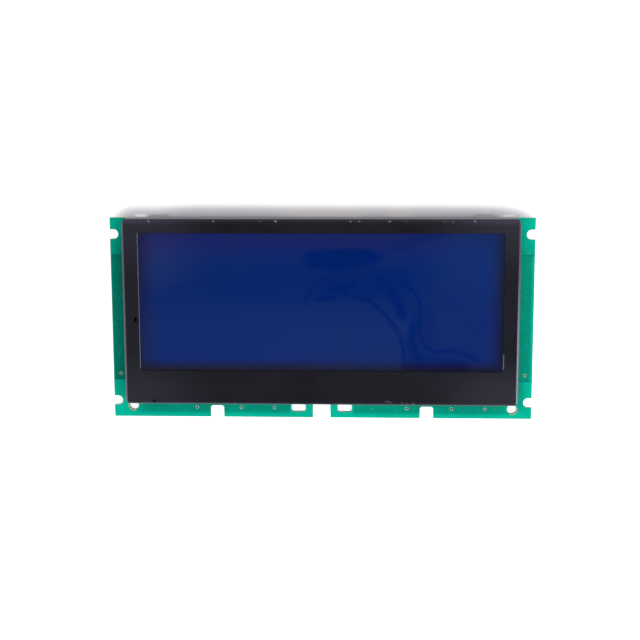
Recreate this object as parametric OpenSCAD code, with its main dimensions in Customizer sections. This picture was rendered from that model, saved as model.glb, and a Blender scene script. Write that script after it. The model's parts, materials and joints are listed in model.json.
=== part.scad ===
// Blue display module with a folded bezel, lying face up.
// Sizes are in millimetres: X runs along the display, Y to its upper edge and Z out of its face.
// The origin is under the middle of the module, on the surface that it lies on.

/* [Window and bezel] */

// Length of the viewing window
window_w = 127.3; // [100:0.1:160]
// Height of the viewing window
window_h = 48.7; // [36:0.1:70]
// Radius of the window's corners
window_r = 0.5; // [0.2:0.1:2]
// Bezel beside the window, at either end
side_border = 5.6; // [4.5:0.1:10]
// Bezel above the window
upper_border = 4.9; // [3:0.1:10]
// Bezel below the window
lower_border = 12.1; // [11:0.1:18]
// Thickness of the bezel's sheet
sheet_t = 0.6; // [0.4:0.05:1]
// Inside radius of the bends round the front
bend_r = 0.4; // [0.2:0.05:0.8]
// Opening between the folded walls at each corner
corner_gap = 0.15; // [0.1:0.05:0.6]

/* [Bent tabs] */

// Width of the upper tabs where they leave the wall
upper_tab_w = 9.8; // [7:0.1:14]
// Slope at either end of an upper tab's step
upper_tab_slope = 2.1; // [0.5:0.1:2.5]
// End of the bezel to the middle of an upper tab
upper_tab_inset = 12; // [9:0.5:20]
// Height over which an upper tab steps outward
tab_jog = 1.6; // [0.8:0.1:3]
// Width of the lower tabs
lower_tab_w = 4.2; // [2:0.1:4.8]
// Distance between the lower tabs
lower_tab_pitch = 16.6; // [14:0.1:24]
// Length of a tab along the rear of the board
tab_length = 3; // [1.5:0.1:5]
// Gap between a tab and the edge that it bends round
tab_gap = 0.3; // [0.1:0.05:0.6]

/* [Board] */

// Thickness of the circuit board
board_t = 1.6; // [0.8:0.1:2.4]
// Board past the bezel, at either end
end_margin = 5.75; // [4.5:0.05:12]
// Board below the bezel
lower_margin = 6.6; // [6.4:0.1:12]
// How far the bezel's upper wall stands past the board
wall_overhang = 0.3; // [0:0.05:0.5]
// Width of the open screw slots
slot_w = 3.4; // [2.2:0.1:4.4]
// Depth of those slots from the board's end
slot_depth = 3; // [2.3:0.1:4.4]
// Middle of a slot to the nearer long edge
slot_inset = 5.9; // [4:0.1:8]
// Diameter of the lower screw holes
hole_d = 3.4; // [2.2:0.1:4]
// Middle of a lower hole to the board's end
hole_end_inset = 7; // [6:0.1:10]
// Middle of the left lower hole to the lower edge
left_hole_inset = 4.1; // [3:0.1:4.5]
// Middle of the right lower hole to the lower edge
right_hole_inset = 3.5; // [3:0.1:4.5]
// Width of the two outer notches
outer_notch_w = 4.8; // [3:0.1:8]
// Depth of the outer notches
outer_notch_depth = 4.2; // [2:0.1:6]
// Distance between the outer notches
outer_notch_pitch = 75.3; // [60:0.1:84]
// Width of the middle notch
middle_notch_w = 6.3; // [4:0.1:8]
// Depth of the middle notch
middle_notch_depth = 7.1; // [5:0.1:7.5]
// Radius inside the notches
notch_r = 0.9; // [0.3:0.1:1.5]
// Width of the windows that the lower tabs go through
tab_window_w = 5.1; // [5:0.1:6]
// Those windows to the lower edge
tab_window_inset = 2.1; // [1.5:0.1:4]
// Radius inside those windows
tab_window_r = 0.9; // [0.3:0.1:1.5]
// Diameter of the test holes
via_d = 0.6; // [0.3:0.1:0.9]
// Row of test holes to the lower edge
via_inset = 3.5; // [2:0.1:4.5]
// End test holes to the board's end
via_end_inset = 2.6; // [1.5:0.1:4]
// End test holes to the lower edge
via_end_height = 15.8; // [12:0.1:30]

/* [Display cell] */

// Thickness of each glass plate
glass_t = 1.1; // [0.5:0.1:1.5]
// Thickness of each polariser film
film_t = 0.2; // [0.1:0.05:0.4]
// Thickness of the seal between the plates
seal_t = 0.1; // [0.05:0.05:0.2]
// Width of the seal
seal_w = 1.2; // [0.6:0.1:1.2]
// Front film past the window, all round
film_overlap = 1.5; // [0.5:0.1:2.4]
// Gap between the glass and the start of the bezel's bends
glass_gap = 0.1; // [0.05:0.05:0.4]
// Ledge of the front glass at its left end
row_ledge = 3.2; // [2.4:0.1:3.2]
// Ledge of the front glass along its lower edge
column_ledge = 4.8; // [3.6:0.1:5.5]
// Width of the connector strip along the lower ledge
column_strip_w = 2.8; // [1.5:0.1:3.2]
// Width of the connector strip along the left ledge
row_strip_w = 1.8; // [1:0.1:2]

/* [Backlight] */

// Thickness of the tray's floor
tray_floor = 1; // [0.6:0.1:2]
// Thickness of the tray's walls
tray_wall = 1; // [0.6:0.1:1]
// Thickness of the reflector sheet
reflector_t = 0.2; // [0.1:0.05:0.4]
// Thickness of the light guide
guide_t = 4.2; // [2.6:0.1:6]
// Gap between the light guide and the tray's walls
guide_gap = 0.2; // [0.1:0.05:0.4]
// Thickness of the diffuser sheet
diffuser_t = 0.3; // [0.1:0.05:0.5]
// Thickness of the strip that carries the light-emitting diodes
led_board_t = 0.8; // [0.4:0.1:1]
// End of the light guide to the end of that strip
led_board_inset = 3; // [1:0.1:8]
// Number of diodes
led_count = 12; // [6:1:16]
// Length of a diode
led_w = 3; // [2:0.1:4]
// Height of a diode
led_h = 2; // [1:0.1:2.4]
// Depth of a diode
led_depth = 1; // [0.6:0.1:1.2]
// Gap between a diode and the light guide
led_gap = 0.1; // [0.05:0.05:0.3]
// Side of the backlight's square pins
lead_pin = 0.6; // [0.4:0.05:0.8]
// End of the diode strip to a pin's middle
lead_inset = 1.2; // [0.8:0.1:2]
// Pin past the rear of the board
lead_tail = 1; // [0.5:0.1:1.6]
// Room round a pin in the tray and the board
lead_room = 0.15; // [0.1:0.05:0.3]

/* [Driver and logic chips] */

// Number of column drivers
column_driver_count = 4; // [3:1:4]
// Long side of a driver's package
driver_l = 20; // [14:0.5:22]
// Short side of a driver's package
driver_w = 14; // [10:0.5:16]
// Height of the tall packages
package_h = 3; // [2.8:0.1:4]
// Bezel's lower wall to the column drivers
column_driver_gap = 8.9; // [7:0.1:12]
// Gap between the two rows of chips
chip_row_gap = 7; // [6:0.1:10]
// Gap along the upper row of chips
chip_gap = 7; // [5:0.1:9]
// Board's left end to the first row driver
row_driver_inset = 6; // [5:0.1:10]
// Side of the controller's package
controller_w = 14; // [10:0.5:16]
// Length of the memory's package
memory_l = 18; // [14:0.1:19]
// Width of the memory's package
memory_w = 8.6; // [7:0.1:10]
// Height of the memory's package
memory_h = 2.5; // [2:0.1:2.8]
// Length of the amplifier's package
amplifier_l = 8.7; // [6:0.1:10]
// Width of the amplifier's package
amplifier_w = 3.9; // [3:0.1:6]
// Height of the amplifier's package
amplifier_h = 1.6; // [1.2:0.1:2.5]
// Draft on the sides of a package
package_draft = 0.25; // [0.1:0.05:0.4]
// Diameter of the dimple by a package's first pin
dimple_d = 1.2; // [0.6:0.1:1.6]
// Depth of that dimple
dimple_depth = 0.2; // [0.1:0.05:0.4]
// Corner of a package to its dimple's middle
dimple_inset = 1.2; // [1:0.1:1.8]

/* [Small parts] */

// Length of a chip capacitor or resistor
chip_l = 2; // [1.6:0.1:3.2]
// Width of a chip capacitor or resistor
chip_w = 1.25; // [0.8:0.05:1.6]
// Height of a chip capacitor
capacitor_h = 0.9; // [0.5:0.05:1.2]
// Height of a chip resistor
resistor_h = 0.5; // [0.3:0.05:0.7]
// Length of the tinned ends of a chip part
terminal_l = 0.4; // [0.2:0.05:0.5]
// Number of steps in the bias ladder
ladder_count = 5; // [3:1:6]
// Distance between those steps
ladder_pitch = 2.6; // [2:0.1:3]
// Length of a tantalum capacitor
tantalum_l = 3.5; // [3:0.1:6]
// Width of a tantalum capacitor
tantalum_w = 2.8; // [1.6:0.1:3.2]
// Height of a tantalum capacitor
tantalum_h = 1.9; // [1.5:0.1:2.6]
// Number of tantalum capacitors
tantalum_count = 3; // [2:1:3]
// Distance between the tantalum capacitors
tantalum_pitch = 6; // [4:0.1:7]
// Board's right end to the tantalum capacitors
tantalum_inset = 12; // [9:0.5:16]
// Length of the clock resonator
resonator_l = 7; // [5:0.1:8]
// Width of the clock resonator
resonator_w = 3.2; // [2:0.1:4]
// Height of the clock resonator
resonator_h = 1.8; // [1:0.1:2.6]

/* [Headers] */

// Number of signal pins
signal_count = 20; // [10:1:24]
// Distance between the pins of both headers
pin_pitch = 1.25; // [1:0.05:1.5]
// Number of backlight supply pins
light_count = 3; // [2:1:4]
// Side of a header's square pins
pin_side = 0.4; // [0.3:0.05:0.5]
// Room for a pin in its hole
pin_room = 0.02; // [0.01:0.01:0.05]
// Depth of a header from mouth to back
header_depth = 6; // [5:0.1:8]
// Height of a header
header_h = 3; // [2.6:0.1:4]
// Thickness of a header's side walls
header_wall = 0.5; // [0.3:0.05:0.7]
// Thickness of a header's back wall
header_back = 1.4; // [1:0.1:2]
// End of a header past its last pin
header_end = 2; // [1.6:0.1:3]
// Header's mouth to the board's upper edge
header_inset = 0.5; // [0:0.1:2]
// Mouth of a header to the tip of its pins
pin_recess = 0.8; // [0.5:0.1:1.5]
// Pin behind the header's back wall
pin_tail = 0.8; // [0.6:0.1:1.2]
// Gap between the two headers
header_gap = 10; // [6:0.5:14]

/* [Hidden] */

$fn = 48;

// Overlap that joins pieces of one sheet, and run-out of cuts past a surface
lap = 0.5;

// Bezel and board outlines
bezel_w = window_w + 2 * side_border;
bezel_h = window_h + upper_border + lower_border;
board_w = bezel_w + 2 * end_margin;
board_h = bezel_h - wall_overhang + lower_margin;
tab_reach = tab_gap + sheet_t;
board_left = -board_w / 2;
board_right = board_w / 2;
board_top = (board_h - tab_reach) / 2;
board_bottom = board_top - board_h;
bezel_top = board_top + wall_overhang;
bezel_bottom = bezel_top - bezel_h;
bezel_middle = (bezel_top + bezel_bottom) / 2;
window_top = bezel_top - upper_border;
window_bottom = window_top - window_h;
window_middle = (window_top + window_bottom) / 2;
outer_bend_r = bend_r + sheet_t;
corner_cut = 2 * sheet_t + corner_gap;
wall_in_top = bezel_top - sheet_t;
wall_in_bottom = bezel_bottom + sheet_t;

// Heights of the layers, from the rear of the board to the bezel's face
rear_z = max(package_h, header_h);
front_z = rear_z + board_t;
reflector_z = front_z + tray_floor;
guide_z = reflector_z + reflector_t;
diffuser_z = guide_z + guide_t;
rear_film_z = diffuser_z + diffuser_t;
rear_glass_z = rear_film_z + film_t;
seal_z = rear_glass_z + glass_t;
front_glass_z = seal_z + seal_t;
front_film_z = front_glass_z + glass_t;
sheet_z = front_film_z + film_t;
face_z = sheet_z + sheet_t;

// Outlines of the glass, kept clear of the inside of the bends
glass_left = -bezel_w / 2 + outer_bend_r + glass_gap;
glass_right = -glass_left;
glass_top = bezel_top - outer_bend_r - glass_gap;
glass_bottom = bezel_bottom + outer_bend_r + glass_gap;
rear_glass_left = glass_left + row_ledge;
rear_glass_bottom = glass_bottom + column_ledge;

// Inside of the tray, and the light guide with the diode strip below it
cavity_left = rear_glass_left + tray_wall;
cavity_right = glass_right - tray_wall;
cavity_top = glass_top - tray_wall;
cavity_bottom = rear_glass_bottom + tray_wall;
guide_left = cavity_left + guide_gap;
guide_right = cavity_right - guide_gap;
guide_top = cavity_top - guide_gap;
led_board_front = cavity_bottom + led_board_t;
guide_bottom = led_board_front + led_depth + led_gap;
led_board_left = guide_left + led_board_inset;
led_board_right = guide_right - led_board_inset;
lead_xs = [led_board_left + lead_inset, led_board_right - lead_inset];
lead_y = led_board_front + lead_pin / 2;
led_run_left = lead_xs[0] + lead_inset;
led_pitch = (lead_xs[1] - lead_inset - led_run_left) / led_count;

// Mirrored places on the board
slot_ys = [board_top - slot_inset, board_bottom + slot_inset];
hole_x = board_right - hole_end_inset;
hole_places = [[-hole_x, board_bottom + left_hole_inset], [hole_x, board_bottom + right_hole_inset]];
via_xs = [-45, -29, -17, 30.5, 46.5, 58.5];

// Chips: a lower row of column drivers and an upper row set out from the left
column_pitch = window_w / column_driver_count;
column_xs = [for (i = [0 : column_driver_count - 1]) (i - (column_driver_count - 1) / 2) * column_pitch];
column_y = bezel_bottom + column_driver_gap + driver_w / 2;
upper_row_bottom = column_y + driver_w / 2 + chip_row_gap;
upper_row_y = upper_row_bottom + driver_l / 2;
row_driver_x = board_left + row_driver_inset + driver_w / 2;
row_driver_xs = [row_driver_x, row_driver_x + driver_w + chip_gap];
controller_x = row_driver_xs[1] + driver_w / 2 + chip_gap + controller_w / 2;
memory_x = controller_x + controller_w / 2 + chip_gap + memory_l / 2;
amplifier_x = memory_x + memory_l / 2 + chip_gap + amplifier_l / 2;
ladder_x = amplifier_x + amplifier_l / 2 + chip_gap / 2 + chip_l / 2;
resonator_y = upper_row_y + controller_w / 2 + chip_row_gap / 2 + resonator_w / 2;
tantalum_x = board_right - tantalum_inset;

// Chip parts: one capacitor by each chip, a bias ladder, and a resistor row behind the signal header
column_capacitors = [for (x = column_xs) [x, upper_row_bottom - chip_row_gap / 2]];
row_capacitors = [for (x = row_driver_xs) [x, upper_row_y + driver_l / 2 + chip_row_gap / 2]];
logic_capacitors = [for (x = [memory_x, amplifier_x]) [x, upper_row_y + memory_w / 2 + chip_row_gap / 2]];
ladder_ys = [for (i = [0 : ladder_count - 1]) upper_row_y + (i - (ladder_count - 1) / 2) * ladder_pitch];
ladder_capacitors = [for (y = ladder_ys) [ladder_x + 2 * chip_l, y]];
capacitor_places = concat(column_capacitors, row_capacitors, logic_capacitors, ladder_capacitors);
header_back_y = board_top - header_inset - header_depth;
pull_xs = [for (i = [-1 : 1]) i * 2 * chip_l];
pull_resistors = [for (x = pull_xs) [x, header_back_y - pin_tail - 2 * chip_w]];
resistor_places = concat([for (y = ladder_ys) [ladder_x, y]], pull_resistors);

// Headers
signal_w = (signal_count - 1) * pin_pitch + 2 * header_end;
light_w = (light_count - 1) * pin_pitch + 2 * header_end;
light_x = signal_w / 2 + header_gap + light_w / 2;
pin_z = rear_z - header_h / 2;

// Rectangle between two corners
module span(left, bottom, right, top) {
    translate([left, bottom])
        square([right - left, top - bottom]);
}

// Rectangle between two corners, with round corners
module round_span(left, bottom, right, top, r) {
    span(left + r, bottom, right - r, top);
    span(left, bottom + r, right, top - r);
    for (x = [left + r, right - r], y = [bottom + r, top - r])
        translate([x, y])
            circle(r);
}

// Layer of a given thickness that starts at a given height
module layer(z, thickness) {
    translate([0, 0, z])
        linear_extrude(thickness)
            children();
}

// Section drawn as distance outward and height, extruded along the bezel's upper wall
module along_wall(length) {
    rotate([90, 0, 90])
        linear_extrude(length, center = true)
            children();
}

// Quarter of a bent sheet, from pointing outward to pointing down
module bend_section(inside_r) {
    intersection() {
        difference() {
            circle(inside_r + sheet_t);
            circle(inside_r);
        }
        square(inside_r + sheet_t);
    }
}

// Foot of a tab: down past the board's edge, round it and along its rear face
module tab_foot_section(top_z) {
    span(0, rear_z + tab_gap, sheet_t, top_z);
    translate([-tab_gap, rear_z + tab_gap])
        mirror([0, 1])
            bend_section(tab_gap);
    span(-tab_gap - tab_length, rear_z - sheet_t, -tab_gap, rear_z);
}

// Plan of an upper tab's step, which slopes at its ends
module step_plan() {
    base = upper_tab_w / 2;
    polygon([
        [-base, wall_in_top], [base, wall_in_top],
        [base - upper_tab_slope, board_top + tab_reach], [upper_tab_slope - base, board_top + tab_reach]
    ]);
}

// Upper tab, which steps outward and goes on past the board's upper edge as a narrower foot
module upper_tab() {
    step = board_top + tab_gap - wall_in_top;
    jog_z = front_z + sheet_t;
    foot_half = upper_tab_w / 2 - upper_tab_slope;
    foot_z = rear_z - sheet_t;
    intersection() {
        along_wall(upper_tab_w) {
            translate([board_top + tab_gap, 0])
                tab_foot_section(jog_z);
            translate([wall_in_top, jog_z])
                polygon([[step, 0], [step + sheet_t, 0], [sheet_t, tab_jog], [0, tab_jog]]);
        }
        union() {
            layer(foot_z, jog_z + tab_jog - foot_z)
                span(-foot_half, board_top - tab_length, foot_half, board_top + tab_reach);
            layer(front_z, jog_z + tab_jog - front_z)
                step_plan();
        }
    }
}

// Lower tab, which goes straight through its window in the board
module lower_tab() {
    along_wall(lower_tab_w)
        translate([-wall_in_bottom, 0])
            tab_foot_section(front_z + lap);
}

// Front view of the bezel, cut across its corners so that the walls stay apart there
module bezel_outline() {
    half_w = bezel_w / 2;
    half_h = bezel_h / 2;
    translate([0, bezel_middle])
        polygon([
            [-half_w + corner_cut, -half_h], [half_w - corner_cut, -half_h],
            [half_w, -half_h + corner_cut], [half_w, half_h - corner_cut],
            [half_w - corner_cut, half_h], [-half_w + corner_cut, half_h],
            [-half_w, half_h - corner_cut], [-half_w, -half_h + corner_cut]
        ]);
}

// Block of the bezel's size with round front edges, smaller by a margin all round
module bezel_block(margin, r) {
    side = bezel_w / 2 - margin;
    base_z = front_z - lap - r;
    top_z = face_z - margin;
    intersection() {
        translate([0, bezel_middle, 0])
            rotate([90, 0, 0])
                linear_extrude(bezel_h, center = true)
                    round_span(-side, base_z, side, top_z, r);
        along_wall(bezel_w)
            round_span(bezel_bottom + margin, base_z, bezel_top - margin, top_z, r);
    }
}

// Front and folded walls of the bezel, down to the board
module bezel_frame() {
    difference() {
        intersection() {
            bezel_block(0, outer_bend_r);
            layer(front_z, face_z - front_z)
                bezel_outline();
        }
        bezel_block(sheet_t, bend_r);
        layer(sheet_z - lap, sheet_t + 2 * lap)
            round_span(-window_w / 2, window_bottom, window_w / 2, window_top, window_r);
    }
}

module bezel() {
    color([0.13, 0.13, 0.15]) {
        bezel_frame();
        for (side = [-1, 1]) {
            translate([side * (bezel_w / 2 - upper_tab_inset), 0, 0])
                upper_tab();
            translate([side * lower_tab_pitch / 2, 0, 0])
                mirror([0, 1, 0])
                    lower_tab();
        }
    }
}

module front_polariser() {
    color([0.1, 0.16, 0.4])
        layer(front_film_z, film_t)
            span(
                -window_w / 2 - film_overlap, window_bottom - film_overlap,
                window_w / 2 + film_overlap, window_top + film_overlap
            );
}

module front_glass() {
    color([0.7, 0.8, 0.78])
        layer(front_glass_z, glass_t)
            span(glass_left, glass_bottom, glass_right, glass_top);
}

module cell_seal() {
    color([0.85, 0.82, 0.7])
        layer(seal_z, seal_t)
            difference() {
                span(rear_glass_left, rear_glass_bottom, glass_right, glass_top);
                span(
                    rear_glass_left + seal_w, rear_glass_bottom + seal_w,
                    glass_right - seal_w, glass_top - seal_w
                );
            }
}

module rear_glass() {
    color([0.7, 0.8, 0.78])
        layer(rear_glass_z, glass_t)
            span(rear_glass_left, rear_glass_bottom, glass_right, glass_top);
}

// Outline that the sheets over and under the light guide share with it
module guide_outline() {
    span(guide_left, guide_bottom, guide_right, guide_top);
}

module rear_polariser() {
    color([0.3, 0.33, 0.45])
        layer(rear_film_z, film_t)
            guide_outline();
}

module diffuser_sheet() {
    color([0.95, 0.95, 0.95])
        layer(diffuser_z, diffuser_t)
            guide_outline();
}

module light_guide() {
    color([0.85, 0.92, 0.95])
        layer(guide_z, guide_t)
            guide_outline();
}

module reflector_sheet() {
    color([0.97, 0.97, 0.97])
        layer(reflector_z, reflector_t)
            guide_outline();
}

module column_connector_strip() {
    strip_y = (glass_bottom + rear_glass_bottom) / 2;
    color([0.75, 0.4, 0.45])
        layer(front_z, front_glass_z - front_z)
            span(
                -window_w / 2, strip_y - column_strip_w / 2,
                window_w / 2, strip_y + column_strip_w / 2
            );
}

module row_connector_strip() {
    strip_x = (glass_left + rear_glass_left) / 2;
    color([0.75, 0.4, 0.45])
        layer(front_z, front_glass_z - front_z)
            span(strip_x - row_strip_w / 2, window_bottom, strip_x + row_strip_w / 2, window_top);
}

module backlight_tray() {
    hole = lead_pin + 2 * lead_room;
    color([0.93, 0.93, 0.9])
        difference() {
            layer(front_z, rear_glass_z - front_z)
                span(rear_glass_left, rear_glass_bottom, glass_right, glass_top);
            layer(reflector_z, rear_glass_z - reflector_z + lap)
                span(cavity_left, cavity_bottom, cavity_right, cavity_top);
            for (x = lead_xs)
                translate([x - hole / 2, lead_y - hole / 2, front_z - lap])
                    cube([hole, hole, tray_floor + 2 * lap]);
        }
}

module led_strip() {
    color([0.9, 0.9, 0.86])
        layer(reflector_z, reflector_t + guide_t)
            span(led_board_left, cavity_bottom, led_board_right, led_board_front);
}

module leds() {
    color([0.98, 0.95, 0.7])
        for (i = [0 : led_count - 1])
            translate([
                led_run_left + (i + 0.5) * led_pitch - led_w / 2,
                led_board_front,
                guide_z + (guide_t - led_h) / 2
            ])
                cube([led_w, led_depth, led_h]);
}

module backlight_pins() {
    tail_z = rear_z - lead_tail;
    color([0.8, 0.78, 0.72])
        for (x = lead_xs)
            translate([x - lead_pin / 2, lead_y - lead_pin / 2, tail_z])
                cube([lead_pin, lead_pin, guide_z + guide_t / 2 - tail_z]);
}

// Open screw slots at both ends of the board
module end_slots() {
    for (side = [-1, 1], y = slot_ys) {
        arc_x = side * (board_right - slot_depth + slot_w / 2);
        translate([arc_x, y])
            circle(d = slot_w);
        translate([arc_x + side * slot_depth / 2, y])
            square([slot_depth, slot_w], center = true);
    }
}

// Notch in the lower edge, round at its inner corners
module edge_notch(x, width, depth) {
    round_span(
        x - width / 2, board_bottom - depth,
        x + width / 2, board_bottom + depth, notch_r
    );
}

// Windows for the lower tabs, whose upper edges the tabs bend round
module tab_windows() {
    for (side = [-1, 1]) {
        x = side * lower_tab_pitch / 2;
        round_span(
            x - tab_window_w / 2, board_bottom + tab_window_inset,
            x + tab_window_w / 2, wall_in_bottom + tab_gap, tab_window_r
        );
        tab_half = lower_tab_w / 2 + tab_gap;
        span(x - tab_half, bezel_bottom, x + tab_half, wall_in_bottom + tab_gap);
    }
}

module pcb() {
    color([0.02, 0.5, 0.42])
        layer(rear_z, board_t)
            difference() {
                span(board_left, board_bottom, board_right, board_top);
                end_slots();
                for (place = hole_places)
                    translate(place)
                        circle(d = hole_d);
                for (side = [-1, 1]) {
                    edge_notch(side * outer_notch_pitch / 2, outer_notch_w, outer_notch_depth);
                    translate([side * (board_right - via_end_inset), board_bottom + via_end_height])
                        circle(d = via_d);
                }
                edge_notch(0, middle_notch_w, middle_notch_depth);
                tab_windows();
                for (x = via_xs)
                    translate([x, board_bottom + via_inset])
                        circle(d = via_d);
                for (x = lead_xs)
                    translate([x, lead_y])
                        circle(d = sqrt(2) * lead_pin + 2 * lead_room);
            }
}

// Side view of a moulded package, widest at its parting line
module package_section(width, height) {
    half = width / 2;
    slope = package_draft;
    polygon([
        [-half + slope, 0], [half - slope, 0], [half, height / 2],
        [half - slope, height], [-half + slope, height], [-half, height / 2]
    ]);
}

// Moulded package that hangs under the rear of the board, with a dimple by its first pin
module package(x, y, length, width, height) {
    translate([x, y, rear_z - height])
        difference() {
            intersection() {
                rotate([90, 0, 0])
                    linear_extrude(width, center = true)
                        package_section(length, height);
                rotate([90, 0, 90])
                    linear_extrude(length, center = true)
                        package_section(width, height);
            }
            translate([package_draft + dimple_inset - length / 2, package_draft + dimple_inset - width / 2, -lap])
                cylinder(d = dimple_d, h = dimple_depth + lap);
        }
}

module column_drivers() {
    color([0.12, 0.12, 0.12])
        for (x = column_xs)
            package(x, column_y, driver_l, driver_w, package_h);
}

module row_drivers() {
    color([0.12, 0.12, 0.12])
        for (x = row_driver_xs)
            package(x, upper_row_y, driver_w, driver_l, package_h);
}

module controller_chip() {
    color([0.12, 0.12, 0.12])
        package(controller_x, upper_row_y, controller_w, controller_w, package_h);
}

module memory_chip() {
    color([0.12, 0.12, 0.12])
        package(memory_x, upper_row_y, memory_l, memory_w, memory_h);
}

module bias_amplifier() {
    color([0.12, 0.12, 0.12])
        package(amplifier_x, upper_row_y, amplifier_l, amplifier_w, amplifier_h);
}

// Block that hangs under the rear of the board
module rear_block(x, y, length, width, height) {
    translate([x - length / 2, y - width / 2, rear_z - height])
        cube([length, width, height]);
}

module clock_resonator() {
    color([0.75, 0.62, 0.4])
        rear_block(controller_x, resonator_y, resonator_l, resonator_w, resonator_h);
}

module tantalum_capacitors() {
    color([0.85, 0.6, 0.15])
        for (i = [0 : tantalum_count - 1])
            rear_block(
                tantalum_x, upper_row_y + (i - (tantalum_count - 1) / 2) * tantalum_pitch,
                tantalum_l, tantalum_w, tantalum_h
            );
}

module ceramic_capacitors() {
    color([0.62, 0.5, 0.36])
        for (place = capacitor_places)
            rear_block(place.x, place.y, chip_l - 2 * terminal_l, chip_w, capacitor_h);
}

module chip_resistors() {
    color([0.1, 0.1, 0.1])
        for (place = resistor_places)
            rear_block(place.x, place.y, chip_l - 2 * terminal_l, chip_w, resistor_h);
}

// Tinned ends of a chip part
module terminals(place, height) {
    for (side = [-1, 1])
        rear_block(place.x + side * (chip_l - terminal_l) / 2, place.y, terminal_l, chip_w, height);
}

module chip_terminals() {
    color([0.8, 0.8, 0.8]) {
        for (place = capacitor_places)
            terminals(place, capacitor_h);
        for (place = resistor_places)
            terminals(place, resistor_h);
    }
}

// Middle of each pin of a header
function pin_places(x, count) = [for (i = [0 : count - 1]) x + (i - (count - 1) / 2) * pin_pitch];

// Side-entry header with its mouth to the board's upper edge
module header(x, width, count) {
    hole = pin_side + 2 * pin_room;
    difference() {
        translate([x - width / 2, header_back_y, rear_z - header_h])
            cube([width, header_depth, header_h]);
        translate([x - width / 2 + header_wall, header_back_y + header_back, rear_z - header_h + header_wall])
            cube([width - 2 * header_wall, header_depth, header_h - 2 * header_wall]);
        for (pin_x = pin_places(x, count))
            translate([pin_x - hole / 2, header_back_y - lap, pin_z - hole / 2])
                cube([hole, header_back + 2 * lap, hole]);
    }
}

// Bent pins of a header: straight through its back wall and down to the board behind it
module header_pins(x, count) {
    pin_back_y = header_back_y - pin_tail;
    pin_bottom_z = pin_z - pin_side / 2;
    for (pin_x = pin_places(x, count))
        translate([pin_x - pin_side / 2, pin_back_y, pin_bottom_z]) {
            cube([pin_side, header_depth + pin_tail - pin_recess, pin_side]);
            cube([pin_side, pin_side, rear_z - pin_bottom_z]);
        }
}

module signal_header() {
    color([0.9, 0.88, 0.8])
        header(0, signal_w, signal_count);
}

module signal_pins() {
    color([0.8, 0.78, 0.72])
        header_pins(0, signal_count);
}

module light_header() {
    color([0.9, 0.88, 0.8])
        header(light_x, light_w, light_count);
}

module light_pins() {
    color([0.8, 0.78, 0.72])
        header_pins(light_x, light_count);
}

bezel();
front_polariser();
front_glass();
cell_seal();
rear_glass();
rear_polariser();
column_connector_strip();
row_connector_strip();
diffuser_sheet();
light_guide();
reflector_sheet();
backlight_tray();
led_strip();
leds();
backlight_pins();
pcb();
column_drivers();
row_drivers();
controller_chip();
memory_chip();
bias_amplifier();
clock_resonator();
tantalum_capacitors();
ceramic_capacitors();
chip_resistors();
chip_terminals();
signal_header();
signal_pins();
light_header();
light_pins();
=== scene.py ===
"""Looks of the display module: camera, light, floor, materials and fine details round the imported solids."""
import json
import math

import bmesh
import bpy
from mathutils import Matrix, Vector


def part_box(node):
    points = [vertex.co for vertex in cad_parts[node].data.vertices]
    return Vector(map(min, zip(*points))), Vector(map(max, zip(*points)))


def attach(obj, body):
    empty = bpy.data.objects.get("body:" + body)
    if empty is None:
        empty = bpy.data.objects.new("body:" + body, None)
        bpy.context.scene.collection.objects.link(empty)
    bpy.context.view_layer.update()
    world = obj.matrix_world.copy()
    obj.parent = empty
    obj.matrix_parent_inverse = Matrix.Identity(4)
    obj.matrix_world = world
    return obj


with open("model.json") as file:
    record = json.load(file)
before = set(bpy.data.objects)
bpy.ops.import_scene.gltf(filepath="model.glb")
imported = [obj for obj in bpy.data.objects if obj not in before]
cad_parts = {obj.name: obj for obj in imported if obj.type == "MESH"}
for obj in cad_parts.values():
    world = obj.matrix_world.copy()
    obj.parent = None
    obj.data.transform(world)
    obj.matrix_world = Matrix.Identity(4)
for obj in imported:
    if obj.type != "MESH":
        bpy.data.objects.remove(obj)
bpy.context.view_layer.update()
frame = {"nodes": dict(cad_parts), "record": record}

NODES = frame["nodes"]
SCENE = bpy.context.scene
MM = 0.001

# Places that several pieces share, in millimetres
FILM_LOW, FILM_HIGH = (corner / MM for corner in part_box("front_polariser"))
FILM_OVERLAP = 1.5
WINDOW_X = FILM_HIGH.x - FILM_OVERLAP
WINDOW_LOW_Y = FILM_LOW.y + FILM_OVERLAP
WINDOW_HIGH_Y = FILM_HIGH.y - FILM_OVERLAP
WALL_X = 69.25
WALL_LOW_Y, WALL_HIGH_Y = -29.85, 35.85
BEND_R = 1.0
REAR_Z = (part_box("pcb")[0] / MM).z


def srgb(red, green, blue):
    """Linear colour of an sRGB colour given from 0 to 255."""
    def linear(value):
        value /= 255
        return value / 12.92 if value <= 0.04045 else ((value + 0.055) / 1.055) ** 2.4
    return (linear(red), linear(green), linear(blue), 1.0)


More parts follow.
